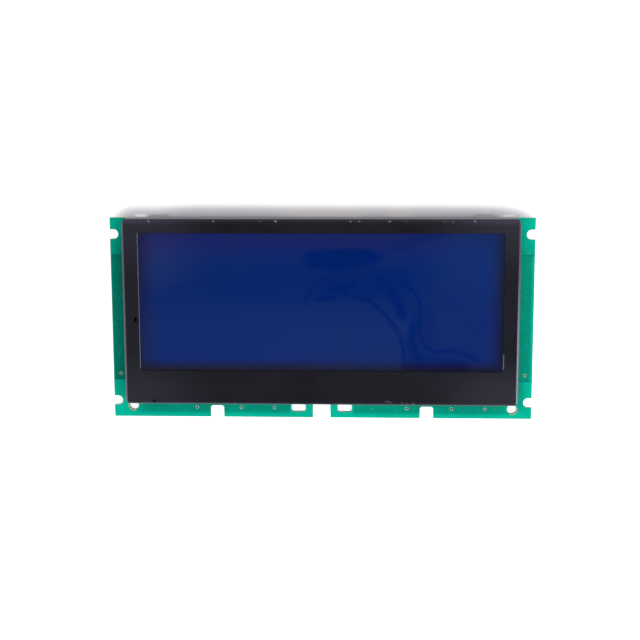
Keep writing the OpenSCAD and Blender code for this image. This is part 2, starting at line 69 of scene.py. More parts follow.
class Graph:
    """Short calls that build a node tree; a value is a number, a tuple or another node's socket."""

    def __init__(self, tree):
        self.tree = tree

    def put(self, socket, value):
        if isinstance(value, bpy.types.NodeSocket):
            self.tree.links.new(value, socket)
        else:
            socket.default_value = value

    def node(self, kind, *values, **settings):
        made = self.tree.nodes.new(kind)
        for name, value in settings.items():
            setattr(made, name, value)
        for socket, value in zip(made.inputs, values):
            self.put(socket, value)
        return made

    def math(self, operation, *values):
        return self.node("ShaderNodeMath", *values, operation=operation).outputs[0]

    def vector(self, operation, *values):
        return self.node("ShaderNodeVectorMath", *values, operation=operation).outputs["Vector"]

    def distance(self, point, other):
        return self.node("ShaderNodeVectorMath", point, other, operation="DISTANCE").outputs["Value"]

    def axes(self, vector):
        return self.node("ShaderNodeSeparateXYZ", vector).outputs

    def noise(self, vector, scale, detail=3.0):
        made = self.node("ShaderNodeTexNoise")
        self.put(made.inputs["Vector"], vector)
        made.inputs["Scale"].default_value = scale
        made.inputs["Detail"].default_value = detail
        return made.outputs[0]

    def fade(self, value, start, end, low=0.0, high=1.0):
        """Smooth step of a value from low at start to high at end."""
        made = self.node("ShaderNodeMapRange", value, start, end, low, high, interpolation_type="SMOOTHSTEP")
        return made.outputs[0]

    def mix(self, factor, first, second):
        made = self.node("ShaderNodeMix", data_type="RGBA")
        self.put(made.inputs[0], factor)
        self.put(made.inputs[6], first)
        self.put(made.inputs[7], second)
        return made.outputs[2]

    def largest(self, values):
        result = values[0]
        for value in values[1:]:
            result = self.math("MAXIMUM", result, value)
        return result

    def product(self, *values):
        result = values[0]
        for value in values[1:]:
            result = self.math("MULTIPLY", result, value)
        return result

    def oval(self, x, y, middle_x, middle_y, half_x, half_y):
        """How far a place is from the middle of an oval, with 1 on its rim."""
        across = self.math("DIVIDE", self.math("SUBTRACT", x, middle_x), half_x)
        along = self.math("DIVIDE", self.math("SUBTRACT", y, middle_y), half_y)
        return self.math("SQRT", self.math("ADD", self.product(across, across), self.product(along, along)))


class Surface(Graph):
    """Material with one Principled shader; its places are in millimetres of the part's frame."""

    def __init__(self, name, roughness=0.5, metallic=0.0, specular=0.5):
        self.material = bpy.data.materials.new(name)
        self.material.use_nodes = True
        super().__init__(self.material.node_tree)
        self.shader = self.tree.nodes["Principled BSDF"]
        self.shader.inputs["Roughness"].default_value = roughness
        self.shader.inputs["Metallic"].default_value = metallic
        self.shader.inputs["Specular IOR Level"].default_value = specular
        coordinates = self.tree.nodes.new("ShaderNodeTexCoord")
        self.place = self.vector("MULTIPLY", coordinates.outputs["Object"], (1 / MM,) * 3)
        self.x, self.y, self.z = self.axes(self.place)
        self.normal = self.axes(coordinates.outputs["Normal"])

    def colour(self, value):
        self.put(self.shader.inputs["Base Color"], value)

    def roughness(self, value):
        self.put(self.shader.inputs["Roughness"], value)

    def metallic(self, value):
        self.put(self.shader.inputs["Metallic"], value)

    def bump(self, height, depth_mm, strength=1.0):
        made = self.tree.nodes.new("ShaderNodeBump")
        made.inputs["Strength"].default_value = strength
        made.inputs["Distance"].default_value = depth_mm * MM
        self.put(made.inputs["Height"], height)
        self.put(self.shader.inputs["Normal"], made.outputs[0])

    def mottle(self, dark, light, scale, roughness, depth_mm=0.01, fine=8.0):
        """Plain finish of a moulded, coated or fired piece: two close colours, uneven gloss, fine grain."""
        broad = self.noise(self.place, scale)
        grain = self.noise(self.place, scale * fine, 2.0)
        self.colour(self.mix(self.fade(broad, 0.3, 0.7), dark, light))
        self.roughness(self.fade(grain, 0.25, 0.75, roughness - 0.07, roughness + 0.07))
        self.bump(grain, depth_mm)
        return self.material

    def box_distance(self, half_x, low_y, high_y):
        """How far a place is inside a rectangle of the display's face, below zero outside it."""
        across = self.math("SUBTRACT", half_x, self.math("ABSOLUTE", self.x))
        below = self.math("SUBTRACT", self.y, low_y)
        above = self.math("SUBTRACT", high_y, self.y)
        return self.math("MINIMUM", across, self.math("MINIMUM", below, above))


# Wear seen in the photograph: flecks of bare metal on the bezel's upper and lower bends (x, size and share),
# scuffs (middle and half sizes) and dark spots (middle, half sizes and share)
UPPER_FLECKS = [
    (-59.5, 0.42, 0.22), (-36.9, 0.34, 0.35), (-20.9, 0.3, 0.12), (-15.3, 0.38, 0.45), (10.5, 0.3, 0.25),
    (13.6, 0.28, 0.25), (23.4, 0.26, 0.25), (24.05, 0.36, 0.3), (29.6, 0.3, 0.15), (42.8, 0.28, 0.12),
    (45.8, 0.3, 0.2), (53.3, 0.34, 0.42),
]
LOWER_FLECKS = [(28.6, 0.7, 0.04), (30.2, 0.5, 0.06), (32.7, 0.42, 0.15)]
SCUFFS = [(23.5, -28.4, 0.9, 0.3), (24.6, -28.75, 0.8, 0.3)]
DARK_SPOTS = [(-64.95, 0.4, 0.5, 0.85, 1.0), (-58.9, -28.7, 0.75, 0.55, 0.6)]
FLECK_Z = 13.55
# Ranges over which the worn and pale parts of the paint and its painted sheen and highlights fade in
UPPER_WALL_Z, LOWER_HIGHLIGHT_Z = (11.5, 13.0), (12.0, 12.8)
PALE_PATCH_IN_X, PALE_PATCH_OUT_X, PALE_PATCH_Z = (61.6, 62.5), (68.8, 67.9), (6.6, 5.6)
PALE_END_X, PALE_END_Z = (-61.0, -65.5), (9.5, 6.5)
RUBBED_HIGH_Y, RUBBED_LOW_Y = (-11.2, -11.6), (-16.9, -16.5)


def make_black_paint():
    """Satin black paint on folded steel, thin on the bends and bare along the cut edge of the window, with
    painted sheen on the face and painted highlights on the bends and the upper wall.
    """
    s = Surface("black_paint", specular=0.2)
    broad = s.noise(s.place, 0.05)
    cloud = s.noise(s.place, 0.35)
    grain = s.noise(s.place, 5.0, 2.0)
    face = s.mix(s.fade(broad, 0.35, 0.65), srgb(16, 14, 20), srgb(21, 19, 26))
    wide, high = s.math("ABSOLUTE", s.x), s.math("ABSOLUTE", s.math("SUBTRACT", s.y, 3.0))
    corner = s.product(s.fade(wide, 30.0, 66.0), s.fade(high, 12.0, 30.0))
    # Painted sheen: the face is lighter towards its left end and its four corners.
    face = s.mix(s.fade(s.x, -58.0, -65.0, 0.0, 0.6), face, srgb(29, 28, 35))
    face = s.mix(corner, face, srgb(36, 35, 44))
    lit = s.product(s.fade(s.y, WALL_HIGH_Y - 2.6, WALL_HIGH_Y - 0.5), s.fade(wide, 40.0, 66.0, 0.12, 0.7))
    face = s.mix(lit, face, srgb(58, 59, 72))
    inside = s.box_distance(WALL_X, WALL_LOW_Y, WALL_HIGH_Y)
    bend = s.fade(inside, BEND_R * 1.1, BEND_R * 0.35)
    high_up = s.fade(s.z, *UPPER_WALL_Z)
    least, most = s.fade(high_up, 0.0, 1.0, 0.3, 0.35), s.fade(high_up, 0.0, 1.0, 0.4, 0.6)
    # Lighter patches on the bends: partly worn paint, partly painted sheen.
    bend_wear_and_sheen = s.product(bend, s.fade(cloud, 0.3, 0.7, least, most))
    colour = s.mix(bend_wear_and_sheen, face, srgb(57, 58, 68))
    # Painted highlight along the side bends, stronger on the right and towards the bottom.
    side = s.product(s.fade(wide, WALL_X - 0.95, WALL_X - 0.6),
                     s.fade(wide, WALL_X + 0.05, WALL_X - 0.25, 0.4, 1.0))
    side = s.product(side, s.fade(s.x, -60.0, 60.0, 0.34, 0.62), s.fade(s.y, 30.0, -25.0, 0.6, 1.0))
    right = s.fade(s.x, 0.0, 10.0)
    side = s.product(side, s.fade(s.x, WALL_X - 0.1, WALL_X - 0.5, 0.2, 1.0))
    side = s.product(side, s.fade(s.product(right, s.fade(s.y, -10.0, 30.0)), 0.0, 1.0, 1.0, 0.3))
    colour = s.mix(side, colour, srgb(150, 154, 172))
    # Painted highlight along the lower bend, uneven in strength.
    lower_bend_highlight = s.product(s.fade(s.y, WALL_LOW_Y + 0.4, WALL_LOW_Y + 0.15), s.fade(cloud, 0.3, 0.7, 0.25, 0.55),
                    s.fade(s.z, *LOWER_HIGHLIGHT_Z))
    colour = s.mix(lower_bend_highlight, colour, srgb(80, 77, 88))
    upper = s.fade(s.y, WALL_HIGH_Y - 0.13, WALL_HIGH_Y - 0.02)
    # Painted reflection: the upper wall is lighter grey.
    colour = s.mix(s.product(upper, 0.8), colour, srgb(92, 92, 97))
    foot = s.fade(s.y, WALL_HIGH_Y + 0.05, WALL_HIGH_Y + 0.2)
    colour = s.mix(foot, colour, srgb(142, 142, 147))
    ragged = s.math("MULTIPLY_ADD", s.noise(s.place, 0.7), 3.0, -1.5)
    edge = s.math("ADD", wide, ragged)
    outer = s.math("ADD", edge, s.fade(s.x, 10.0, -10.0, 0.0, 2.6))
    streaks = s.noise(s.vector("MULTIPLY", s.place, (0.5, 1.0, 3.0)), 1.0)
    uneven_z = s.math("ADD", s.z, ragged)
    # Pale ragged patches on the upper wall towards both ends.
    pale_patches = s.product(s.fade(edge, *PALE_PATCH_IN_X), s.fade(outer, *PALE_PATCH_OUT_X),
                        s.fade(uneven_z, *PALE_PATCH_Z), upper, s.fade(streaks, 0.35, 0.55, 0.4, 0.85))
    colour = s.mix(pale_patches, colour, srgb(214, 213, 210))
    pale_end = s.product(s.fade(s.x, *PALE_END_X, 0.0, 0.6), upper, s.fade(uneven_z, *PALE_END_Z, 0.1, 1.0))
    colour = s.mix(pale_end, colour, srgb(170, 172, 176))
    flecks = []
    for places, y in ((UPPER_FLECKS, WALL_HIGH_Y - 0.85), (LOWER_FLECKS, WALL_LOW_Y + 0.6)):
        for x, size, share in places:
            near = s.distance(s.place, (x, y, FLECK_Z))
            flecks.append(s.fade(near, size * 1.3, size * 0.5, 0.0, share))
    fleck = s.product(s.largest(flecks), s.fade(s.noise(s.place, 3.5), 0.36, 0.52))
    colour = s.mix(fleck, colour, srgb(214, 212, 210))
    scuff = s.largest([s.fade(s.oval(s.x, s.y, *place), 1.4, 0.4) for place in SCUFFS])
    colour = s.mix(scuff, colour, srgb(60, 58, 66))
    spot = s.largest([s.fade(s.oval(s.x, s.y, *place), 1.4, 0.5, 0.0, share) for *place, share in DARK_SPOTS])
    colour = s.mix(spot, colour, srgb(3, 3, 4))
    in_window = s.fade(s.box_distance(WINDOW_X, WINDOW_LOW_Y, WINDOW_HIGH_Y), -0.25, -0.1)
    upright = s.fade(s.math("ABSOLUTE", s.normal[2]), 0.6, 0.4)
    left_end = s.product(s.fade(s.x, 3.0 - WINDOW_X, 0.4 - WINDOW_X),
                         s.fade(s.y, WINDOW_LOW_Y + 0.4, WINDOW_LOW_Y + 1.2))
    bare = s.largest([left_end, s.fade(s.noise(s.place, 0.5), 0.45, 0.65, 0.02, 0.1)])
    cut = s.product(in_window, upright, bare, s.fade(s.noise(s.place, 0.9), 0.25, 0.45, 0.5, 1.0))
    colour = s.mix(cut, colour, srgb(196, 194, 192))
    rim = s.math("SUBTRACT", s.x, WINDOW_X)
    rubbed_foot = s.product(
        s.fade(rim, -0.2, 0.0), s.fade(rim, 0.45, 0.3),
        s.fade(s.y, *RUBBED_HIGH_Y), s.fade(s.y, *RUBBED_LOW_Y),
        s.fade(s.noise(s.place, 1.6), 0.35, 0.6, 0.6, 1.0),
    )
    colour = s.mix(rubbed_foot, colour, srgb(88, 90, 98))
    s.colour(colour)
    worn = s.largest([fleck, s.product(cut, 0.6)])
    s.metallic(s.largest([s.product(worn, 0.5), spot]))
    s.roughness(s.fade(s.noise(s.place, 1.2), 0.3, 0.7, 0.36, 0.46))
    s.bump(grain, 0.006)
    return s.material


# Painted reflection: a faint pale patch at the film's upper left
REFLECTION_X, REFLECTION_Y, REFLECTION_SHARE = (-36.0, -64.0), (3.0, 22.0), 0.085


def make_blue_film():
    """Blue polariser film over the display cell: deep blue, darkening to navy towards the window's edges as
    painted shade.
    """
    s = Surface("blue_film", specular=0.5)
    # Painted shade: the film turns navy towards the window's edges.
    across = s.product(s.fade(s.x, -WINDOW_X - 4.5, -WINDOW_X + 8.0),
                       s.fade(s.x, WINDOW_X + 1.2, WINDOW_X - 6.0))
    below = s.fade(s.y, WINDOW_LOW_Y + 0.2, WINDOW_LOW_Y + 5.0)
    above = s.product(s.fade(s.y, WINDOW_HIGH_Y + 0.2, WINDOW_HIGH_Y - 0.7),
                      s.fade(s.y, WINDOW_HIGH_Y, WINDOW_HIGH_Y - 9.0, 0.78, 1.0))
    broad = s.noise(s.place, 0.022, 2.0)
    cloud = s.noise(s.place, 0.11, 3.0)
    field = s.mix(s.fade(broad, 0.35, 0.65), srgb(0, 28, 96), srgb(3, 29, 93))
    field = s.mix(s.product(s.fade(cloud, 0.35, 0.7), 0.25), field, srgb(0, 27, 99))
    # Painted reflection: a faint grey patch at the upper left.
    painted_reflection = s.product(s.fade(s.x, *REFLECTION_X), s.fade(s.y, *REFLECTION_Y), REFLECTION_SHARE)
    field = s.mix(painted_reflection, field, srgb(92, 92, 100))
    s.colour(s.mix(s.product(across, below, above), srgb(18, 11, 39), field))
    s.roughness(s.fade(s.noise(s.place, 0.4), 0.3, 0.7, 0.012, 0.03))
    s.bump(s.noise(s.place, 0.05, 1.5), 0.01)
    return s.material


# Places on the board: mask lines, copper pour and holes
MASK_LINES = (22.3, -22.75)
POUR_X = 69.0
POUR_END_X = (73.5, 74.6)
POUR_LOW_Y = (-34.1, -35.75)
POUR_GAP_X = (10.8, 12.0)
SCREW_HOLES = [(-68.0, -32.35), (68.0, -32.95)]
SCREW_HOLE_R = 1.7
COVERED_HOLE = (18.1, -33.0, 0.7, 0.5)
WEAVE = 13.0


def make_green_laminate():
    """Green solder mask over copper and woven laminate, with the bare laminate on the cut edges and painted
    shade by the bezel wall, at the left end and in the screw holes.
    """
    s = Surface("green_laminate", specular=0.04)
    broad = s.noise(s.place, 0.08)
    cloud = s.noise(s.place, 0.6)
    wide = s.math("ABSOLUTE", s.x)
    front = s.fade(s.normal[2], -0.6, -0.4)
    bare = s.mix(s.fade(broad, 0.35, 0.65), srgb(0, 166, 138), srgb(0, 175, 145))
    pour = s.mix(s.fade(broad, 0.35, 0.65), srgb(0, 132, 109), srgb(0, 138, 114))
    middle = s.product(s.fade(s.y, MASK_LINES[1] - 0.2, MASK_LINES[1] + 0.2),
                       s.fade(s.y, MASK_LINES[0] + 0.2, MASK_LINES[0] - 0.2))
    margin = s.fade(wide, POUR_X - 0.4, POUR_X)
    end_x = s.math("SUBTRACT", wide, s.fade(s.x, 10.0, -10.0, 0.0, 0.6))
    ends = s.product(middle, margin, s.fade(end_x, POUR_END_X[1], POUR_END_X[0]))
    strip = s.product(s.fade(wide, POUR_X + 1.0, POUR_X - 6.0), s.fade(wide, *POUR_GAP_X),
                      s.fade(s.y, POUR_LOW_Y[1], POUR_LOW_Y[0]))
    outside = s.math("MULTIPLY", s.box_distance(WALL_X, WALL_LOW_Y, WALL_HIGH_Y), -1.0)
    # Painted shade by the bezel wall: the right corners and the end strips above the upper mask line take the
    # pour colour, most near the wall.
    right_corner_shade = s.product(s.fade(outside, 6.0, 0.0), s.fade(s.x, 64.0, 69.0),
                              s.fade(s.y, 33.0, 27.0, 0.45, 0.9))
    shade_above_line = s.product(s.fade(s.y, 33.0, MASK_LINES[0] + 1.0),
                        s.fade(s.y, MASK_LINES[0], MASK_LINES[0] + 0.2),
                        margin, s.fade(outside, 6.0, 0.5, 0.45, 0.95))
    # Copper pour, the rear face and the painted shade all take the pour colour.
    pour_and_wall_shade = s.largest([ends, strip, right_corner_shade, shade_above_line, s.math("SUBTRACT", 1.0, front)])
    mask = s.mix(pour_and_wall_shade, bare, pour)
    shaded = s.product(middle, margin, front, s.fade(s.x, 60.0, -60.0, 0.1, 0.5))
    mask = s.mix(shaded, mask, srgb(0, 96, 80))
    lines = [s.fade(s.math("ABSOLUTE", s.math("SUBTRACT", s.y, y)), 0.3, 0.12) for y in MASK_LINES]
    mask = s.mix(s.product(s.largest(lines), margin, front, 0.6), mask, srgb(0, 84, 72))
    covered = s.product(s.fade(s.oval(s.x, s.y, *COVERED_HOLE), 1.1, 0.7), front, 0.4)
    mask = s.mix(covered, mask, srgb(40, 160, 140))
    mask = s.mix(s.product(s.fade(cloud, 0.5, 0.75), 0.16), mask, srgb(0, 190, 165))
    for x, y in SCREW_HOLES:
        ring = s.fade(s.oval(s.x, s.y, x, y, SCREW_HOLE_R, SCREW_HOLE_R), 1.24, 1.12)
        away = s.math("SUBTRACT", s.math("MULTIPLY", s.math("SUBTRACT", s.x, x), math.copysign(0.7, x)),
                      s.math("MULTIPLY", s.math("SUBTRACT", s.y, y), 0.7))
        mask = s.mix(s.product(ring, s.fade(away, 0.4, 1.2), front, 0.8), mask, srgb(196, 158, 112))
    layers = s.noise(s.vector("MULTIPLY", s.place, (0.6, 0.6, 7.0)), 1.0, 4.0)
    edge = s.mix(s.fade(layers, 0.46, 0.66), srgb(226, 211, 180), srgb(170, 130, 86))
    # Painted shade: the screw holes' walls darken to brown below their rim.
    hole_wall_shade = s.largest([
        s.fade(s.oval(s.x, s.y, x, y, SCREW_HOLE_R, SCREW_HOLE_R), 1.25, 1.15) for x, y in SCREW_HOLES
    ])
    edge = s.mix(s.product(hole_wall_shade, s.fade(s.z, 4.15, 3.85)), edge, srgb(126, 88, 56))
    flat = s.fade(s.math("ABSOLUTE", s.normal[2]), 0.4, 0.6)
    s.colour(s.mix(flat, edge, mask))
    s.roughness(s.fade(s.noise(s.place, 1.5), 0.3, 0.7, 0.34, 0.46))
    warp = s.math("SINE", s.math("MULTIPLY", s.x, WEAVE))
    weft = s.math("SINE", s.math("MULTIPLY", s.y, WEAVE))
    weave = s.math("MULTIPLY", warp, weft)
    s.bump(s.math("ADD", weave, s.math("MULTIPLY", cloud, 2.0)), 0.004)
    return s.material


def make_tin(name, light, dark, roughness):
    """Tin or solder: bright metal with dull patches and faint drawing marks."""
    s = Surface(name, metallic=1.0)
    cloud = s.noise(s.place, 1.8)
    s.colour(s.mix(s.fade(cloud, 0.35, 0.7), light, dark))
    s.roughness(s.fade(s.noise(s.place, 4.0), 0.3, 0.7, roughness - 0.1, roughness + 0.1))
    s.bump(s.noise(s.place, 9.0, 2.0), 0.004)
    return s.material


def make_chip_resin():
    """Black moulding resin, matt, with the fine sparkle of its glass filler."""
    s = Surface("chip_resin", specular=0.4)
    filler = s.noise(s.place, 14.0, 2.0)
    colour = s.mix(s.fade(s.noise(s.place, 0.3), 0.35, 0.65), srgb(34, 34, 36), srgb(43, 43, 44))
    s.colour(s.mix(s.product(s.fade(filler, 0.62, 0.74), 0.5), colour, srgb(84, 84, 86)))
    s.roughness(s.fade(s.noise(s.place, 3.0), 0.3, 0.7, 0.55, 0.72))
    s.bump(filler, 0.008)
    return s.material


# Pitch of the connector strip's layers and of the light guide's dots
STRIPE_PITCH, DOT_PITCH = 0.18, 1.6


def make_elastomer():
    """Connector strip: thin dark conducting layers between pink insulating ones."""
    s = Surface("elastomer", roughness=0.6)
    run = s.math("ADD", s.x, s.y)
    stripe = s.math("SINE", s.math("MULTIPLY", run, 2 * math.pi / STRIPE_PITCH))
    pink = s.mix(s.fade(s.noise(s.place, 0.7), 0.35, 0.65), srgb(214, 160, 166), srgb(222, 172, 176))
    s.colour(s.mix(s.fade(stripe, -0.2, 0.3), pink, srgb(44, 42, 44)))
    s.bump(stripe, 0.004)
    return s.material


def make_cell_glass():
    """Clear float glass with a faint green tint."""
    s = Surface("cell_glass", roughness=0.03)
    s.colour(s.mix(s.fade(s.noise(s.place, 0.05), 0.3, 0.7), srgb(222, 238, 232), srgb(234, 244, 240)))
    s.shader.inputs["Transmission Weight"].default_value = 0.9
    s.shader.inputs["IOR"].default_value = 1.52
    s.bump(s.noise(s.place, 0.2, 1.0), 0.002)
    return s.material


def make_clear_acrylic():
    """Light guide: clear acrylic with a grid of printed white dots on its rear."""
    s = Surface("clear_acrylic", roughness=0.06)
    across = s.math("SINE", s.math("MULTIPLY", s.x, 2 * math.pi / DOT_PITCH))
    along = s.math("SINE", s.math("MULTIPLY", s.y, 2 * math.pi / DOT_PITCH))
    dots = s.product(s.fade(s.product(across, along), 0.45, 0.6), s.fade(s.normal[2], -0.4, -0.6))
    tint = s.mix(s.fade(s.noise(s.place, 0.05), 0.3, 0.7), srgb(228, 240, 244), srgb(238, 246, 248))
    s.colour(s.mix(dots, tint, srgb(250, 250, 250)))
    s.shader.inputs["Transmission Weight"].default_value = 0.85
    s.shader.inputs["IOR"].default_value = 1.49
    s.bump(s.noise(s.place, 0.3, 1.0), 0.002)
    return s.material


TANTALUM_BAND = 0.9


def make_tantalum_resin():
    """Yellow moulded capacitor with a darker band at its plus end."""
    s = Surface("tantalum_resin")
    high_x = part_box("tantalum_capacitors")[1].x / MM
    body = s.mix(s.fade(s.noise(s.place, 0.8), 0.35, 0.65), srgb(206, 150, 52), srgb(214, 162, 62))
    band = s.fade(s.x, high_x - TANTALUM_BAND - 0.03, high_x - TANTALUM_BAND + 0.03)
    s.colour(s.mix(band, body, srgb(128, 78, 30)))
    s.roughness(s.fade(s.noise(s.place, 3.0), 0.3, 0.7, 0.42, 0.56))
    s.bump(s.noise(s.place, 10.0, 2.0), 0.006)
    return s.material


MATERIALS = {
    "black_paint": make_black_paint(),
    "blue_film": make_blue_film(),
    "cell_glass": make_cell_glass(),
    "seal_resin": Surface("seal_resin").mottle(srgb(214, 206, 176), srgb(224, 216, 188), 0.5, 0.45),
    "grey_film": Surface("grey_film").mottle(srgb(66, 72, 102), srgb(74, 80, 110), 0.05, 0.15, 0.002),
    "elastomer": make_elastomer(),
    "white_film": Surface("white_film").mottle(srgb(234, 235, 236), srgb(242, 243, 244), 0.1, 0.5, 0.004),
    "clear_acrylic": make_clear_acrylic(),
    "white_moulding": Surface("white_moulding").mottle(srgb(228, 227, 220), srgb(238, 237, 230), 0.3, 0.5),
    "white_laminate": Surface("white_laminate").mottle(srgb(222, 221, 210), srgb(232, 231, 222), 0.4, 0.45),
    "diode_resin": Surface("diode_resin").mottle(srgb(240, 224, 150), srgb(246, 234, 176), 1.2, 0.25),
    "tinned_metal": make_tin("tinned_metal", srgb(206, 204, 198), srgb(176, 172, 164), 0.32),
    "green_laminate": make_green_laminate(),
    "chip_resin": make_chip_resin(),
    "resonator_ceramic":
        Surface("resonator_ceramic").mottle(srgb(186, 154, 100), srgb(198, 168, 116), 0.9, 0.5),
    "tantalum_resin": make_tantalum_resin(),
    "capacitor_ceramic":
        Surface("capacitor_ceramic").mottle(srgb(150, 122, 88), srgb(168, 140, 104), 1.4, 0.45),
    "resistor_glaze": Surface("resistor_glaze").mottle(srgb(22, 22, 24), srgb(30, 30, 33), 1.0, 0.22, 0.003),
    "header_moulding": Surface("header_moulding").mottle(srgb(226, 220, 200), srgb(234, 229, 212), 0.5, 0.48),
}
SOLDER = make_tin("solder", srgb(196, 196, 196), srgb(160, 160, 162), 0.28)
# Dark fill in the small holes, standing for the shade inside them.
DARK_HOLE_FILL = Surface("dark_hole_fill", metallic=0.2).mottle(srgb(58, 28, 22), srgb(82, 44, 34), 2.0, 0.45)
PLATING = Surface("plating", metallic=0.3).mottle(srgb(166, 182, 164), srgb(200, 210, 194), 2.0, 0.4)

for subpart in frame["record"]["subparts"]:
    slots = NODES[subpart["node"]].data.materials
    slots.clear()
    slots.append(MATERIALS[subpart["material_slot"]])


def new_piece(name, build, material):
    """Makes one object from a bmesh, on the part's only body."""
    bmesh.ops.recalc_face_normals(build, faces=build.faces)
    mesh = bpy.data.meshes.new(name)
    build.to_mesh(mesh)
    build.free()
    mesh.materials.append(material)
    piece = bpy.data.objects.new(name, mesh)
    SCENE.collection.objects.link(piece)
    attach(piece, "root")
    return piece


def extrude(build, outline, origin, along, up, width):
    """Solid with a flat outline, drawn along and up from an origin, and a width across it."""
    across = along.cross(up) * (width / 2)
    rings = []
    for side in (-1, 1):
        rings.append([
            build.verts.new((origin + along * a + up * b + across * side) * MM) for a, b in outline
        ])
    count = len(outline)
    for i in range(count):
        j = (i + 1) % count
        build.faces.new((rings[0][i], rings[0][j], rings[1][j], rings[1][i]))
    build.faces.new(rings[0])
    build.faces.new(rings[1])


def lathe(build, profile, centre, up, segments=20, inner=()):
    """Solid of revolution of a closed profile of radius and height; inner steps take the second material."""
    rings = []
    for radius, height in profile:
        ring = []
        for i in range(segments):
            turn = 2 * math.pi * i / segments
            spot = centre + Vector((radius * math.cos(turn), radius * math.sin(turn), 0)) + up * height
            ring.append(build.verts.new(spot * MM))
        rings.append(ring)
    for k, ring in enumerate(rings):
        after = rings[(k + 1) % len(rings)]
        for i in range(segments):
            j = (i + 1) % segments
            face = build.faces.new((ring[i], ring[j], after[j], after[i]))
            face.material_index = 1 if k in inner else 0


DOWN = Vector((0, 0, -1))


def strip_outline(path, thickness):
    """Closed outline of a thin strip that follows a path, with mitred corners."""
    points = [Vector(point) for point in path]
    runs = [(after - before).normalized() for before, after in zip(points, points[1:])]
    upper, lower = [], []
    for i, point in enumerate(points):
        before, after = runs[max(i - 1, 0)], runs[min(i, len(runs) - 1)]
        run = (before + after).normalized()
        side = Vector((-run.y, run.x)) * (thickness / 2 / run.dot(after))
        upper.append(point + side)
        lower.append(point - side)
    return upper + lower[::-1]


# Share of a lead's reach at which its flat foot starts
FOOT_START = 0.52


def gull_wing(shoulder, reach, thickness):
    """Side view of a chip's lead, from its package out, down to the board and along it."""
    rest = thickness / 2
    knee = 0.3
    foot = reach * FOOT_START
    return strip_outline([
        (-0.3, shoulder), (knee, shoulder), (knee + 0.12, shoulder - 0.05), (knee + 0.2, shoulder - 0.17),
        (foot - 0.2, rest + 0.17), (foot - 0.12, rest + 0.05), (foot, rest), (reach, rest),
    ], thickness)


def solder_outline(reach, thickness):
    """Side view of the solder under and round a lead's foot."""
    foot = reach * FOOT_START
    top = thickness * 0.6
    return [
        (foot - 0.32, 0), (foot - 0.2, top * 0.6), (foot - 0.06, top), (reach + 0.02, top),
        (reach + 0.1, top * 0.45), (reach + 0.24, 0),
    ]


# Node, packages in it, leads facing X, leads facing Y, pitch, lead width, lead thickness and reach
LEAD_SETS = [
    ("column_drivers", 4, 20, 30, 0.65, 0.3, 0.16, 1.95),
    ("row_drivers", 2, 30, 20, 0.65, 0.3, 0.16, 1.95),
    ("controller_chip", 1, 20, 20, 0.65, 0.3, 0.16, 1.95),
    ("memory_chip", 1, 0, 14, 1.27, 0.42, 0.2, 1.7),
    ("bias_amplifier", 1, 0, 7, 1.27, 0.42, 0.2, 1.05),
]
PACKAGE_LENGTHS = {"column_drivers": 20.0, "row_drivers": 14.0}


def package_boxes(node, count):
    """Lowest and highest corner of each package in a node, from left to right."""
    low, high = (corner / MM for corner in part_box(node))
    length = PACKAGE_LENGTHS.get(node, high.x - low.x)
    step = (high.x - low.x - length) / max(count - 1, 1)
    for i in range(count):
        left = low.x + i * step
        yield Vector((left, low.y, low.z)), Vector((left + length, high.y, high.z))


def lead_places(low, high, facing_x, facing_y, pitch):
    """Start and outward direction of each lead of one package, at the board's rear."""
    middle = (low + high) / 2
    for count, axis in ((facing_x, 0), (facing_y, 1)):
        for side in (-1, 1):
            outward = Vector((side, 0, 0)) if axis == 0 else Vector((0, side, 0))
            edge = (high[axis] - low[axis]) / 2
            for i in range(count):
                offset = (i - (count - 1) / 2) * pitch
                spot = Vector((middle.x, middle.y, REAR_Z)) + outward * edge
                spot[1 - axis] += offset
                yield spot, outward


# Distance from a lead's tip back to where its track starts
FOOT_LAP = 0.3
feet = {}
solder = bmesh.new()
for node, count, facing_x, facing_y, pitch, width, thickness, reach in LEAD_SETS:
    leads = bmesh.new()
    for number, (low, high) in enumerate(package_boxes(node, count)):
        shoulder = (high.z - low.z) / 2
        for spot, outward in lead_places(low, high, facing_x, facing_y, pitch):
            extrude(leads, gull_wing(shoulder, reach, thickness), spot, outward, DOWN, width)
            extrude(solder, solder_outline(reach, thickness), spot, outward, DOWN, width + 0.1)
            row = feet.setdefault((node, number, round(outward.x), round(outward.y)), [])
            row.append((spot + outward * (reach - FOOT_LAP)).to_2d())
    new_piece(node + "_leads", leads, MATERIALS["tinned_metal"])
new_piece("lead_solder", solder, SOLDER)

# Plated rings round the test holes, on both faces of the board and through it, each hole closed by a dark
# plug of painted shade
TEST_HOLES = [(x, -32.95) for x in (-45, -29, -17, 30.5, 46.5, 58.5)] + [(-72.4, -20.65), (72.4, -20.65)]
RING_PROFILE = [
    (0.27, 0.0), (0.37, -0.03), (0.42, -0.045), (0.52, -0.045), (0.57, -0.03), (0.58, 0.0), (0.3, 0.0),
    (0.3, 1.6), (0.58, 1.6), (0.57, 1.63), (0.52, 1.645), (0.42, 1.645), (0.37, 1.63), (0.27, 1.6),
    (0.04, 1.2), (0.04, 0.4),
]
RING_INNER = (0, 12, 13, 14, 15)
rings = bmesh.new()
for x, y in TEST_HOLES:
    lathe(rings, RING_PROFILE, Vector((x, y, REAR_Z)), Vector((0, 0, 1)), inner=RING_INNER)
ring_piece = new_piece("test_hole_rings", rings, PLATING)
ring_piece.data.materials.append(DARK_HOLE_FILL)

# Solder on the backlight's pins, on the headers' pins and at the ends of the chip parts
joints = bmesh.new()


